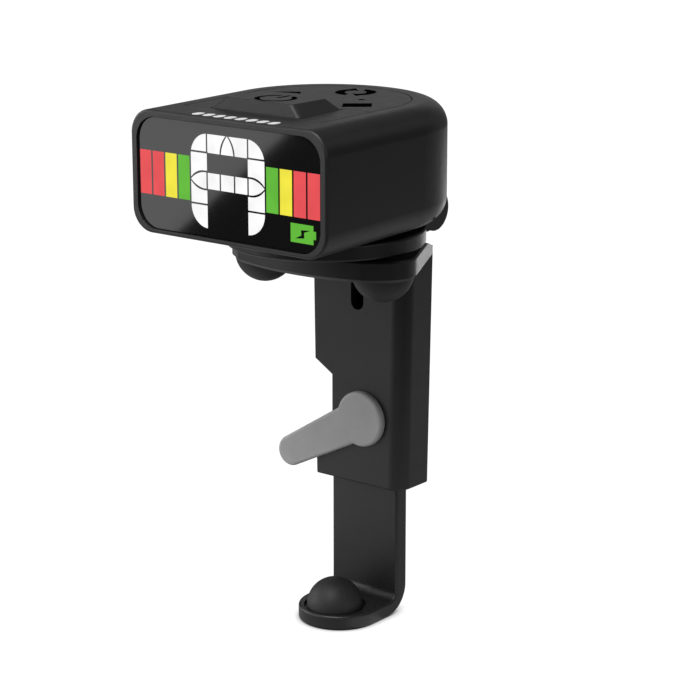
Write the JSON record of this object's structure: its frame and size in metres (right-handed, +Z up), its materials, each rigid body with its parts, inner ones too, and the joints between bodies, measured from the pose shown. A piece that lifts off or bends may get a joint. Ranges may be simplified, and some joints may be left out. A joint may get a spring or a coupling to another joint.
{
  "type": "clip-on tuner",
  "caption": "Clip-on instrument tuner: a display head on a tilt hinge and turntable, above a C-shaped clamp with rubber pads and a sliding lower jaw locked by a cam lever.",
  "frame": {"origin": "under the middle of the bounding box, on the sole of the lower jaw", "axes": "+X to the right as seen from the display, -Y towards the player, who faces the display, +Z up along the clamp"},
  "size_m": [0.03, 0.0326, 0.0686],
  "materials": {
    "black_plastic": "fine satin black ABS",
    "key_plastic": "satin black, symbols sunk in",
    "clamp_plastic": "fine satin black nylon",
    "lever_plastic": "satin mid grey",
    "lens_black": "polished black window",
    "segment_white": "lit white display segments behind the window",
    "segment_red": "lit red display bars behind the window",
    "segment_yellow": "lit yellow display bars behind the window",
    "segment_green": "lit green display bars and battery symbol behind the window",
    "black_rubber": "soft matte black rubber",
    "grey_silicone": "matte silicone",
    "white_plastic": "matte white reflector",
    "nylon": "natural nylon",
    "dark_steel": "black oxide steel",
    "switch_metal": "stamped steel",
    "brass": "bright brass",
    "board": "green circuit board",
    "chip": "moulded black package",
    "led_body": "clear resin over phosphor",
    "flex": "amber film",
    "cell_foil": "laminated foil pouch",
    "mark_black": "glossy black symbol let into a key",
    "mark_white": "white printed ticks"
  },
  "bodies": {
    "clamp": {"clamp_body": "clamp_plastic", "sleeve_cover": "clamp_plastic", "sleeve_screws": "dark_steel", "upper_pad_left": "black_rubber", "upper_pad_right": "black_rubber", "swivel_insert": "brass", "swivel_screw": "dark_steel", "swivel_spring": "dark_steel", "thrust_washer": "nylon"},
    "jaw": {"jaw_bar": "clamp_plastic", "lower_pad": "black_rubber"},
    "lever": {"lever": "lever_plastic", "cam_shaft": "dark_steel", "lever_washer": "nylon"},
    "turntable": {"turntable": "clamp_plastic", "hinge_pin": "dark_steel", "hinge_washers": "nylon", "rest_bumpers": "black_rubber"},
    "head": {"head_housing": "black_plastic", "bottom_cover": "black_plastic", "cover_screws": "dark_steel", "display_lens": "lens_black", "note_display": "segment_white", "green_bars": "segment_green", "yellow_bars": "segment_yellow", "red_bars": "segment_red", "battery_symbol": "segment_green", "light_box": "white_plastic", "display_board": "board", "display_leds": "led_body", "key_frame": "key_plastic", "key_mat": "grey_silicone", "key_switches": "switch_metal", "main_board": "board", "control_chip": "chip", "board_flex": "flex", "battery_cell": "cell_foil", "battery_pad": "grey_silicone", "piezo_sensor": "brass", "charging_port": "switch_metal", "front_marks": "mark_white"},
    "power_key": {"power_key": "key_plastic", "power_mark": "mark_black"},
    "flip_key": {"flip_key": "key_plastic", "flip_mark": "mark_black"}
  },
  "joints": [
    {"name": "jaw_slide", "type": "slide", "parent": "clamp", "child": "jaw", "axis": [0, 0, 1], "range_m": [-0.0065, 0.007]},
    {"name": "lever_turn", "type": "hinge", "parent": "clamp", "child": "lever", "pos_m": [0.00065, 0.008, 0.0258], "axis": [0, 1, 0], "range_deg": [0, 90]},
    {"name": "head_swivel", "type": "hinge", "parent": "clamp", "child": "turntable", "pos_m": [0, 0.002, 0.05], "axis": [0, 0, 1], "continuous": true},
    {"name": "head_tilt", "type": "hinge", "parent": "turntable", "child": "head", "pos_m": [0, 0.0121, 0.0534], "axis": [-1, 0, 0], "range_deg": [0, 60]},
    {"name": "power_press", "type": "slide", "parent": "head", "child": "power_key", "axis": [0, 0, -1], "range_m": [0, 0.00035], "stiffness_N_per_m": 300, "springref_m": -0.001},
    {"name": "flip_press", "type": "slide", "parent": "head", "child": "flip_key", "axis": [0, 0, -1], "range_m": [0, 0.00035], "stiffness_N_per_m": 300, "springref_m": -0.001}
  ]
}
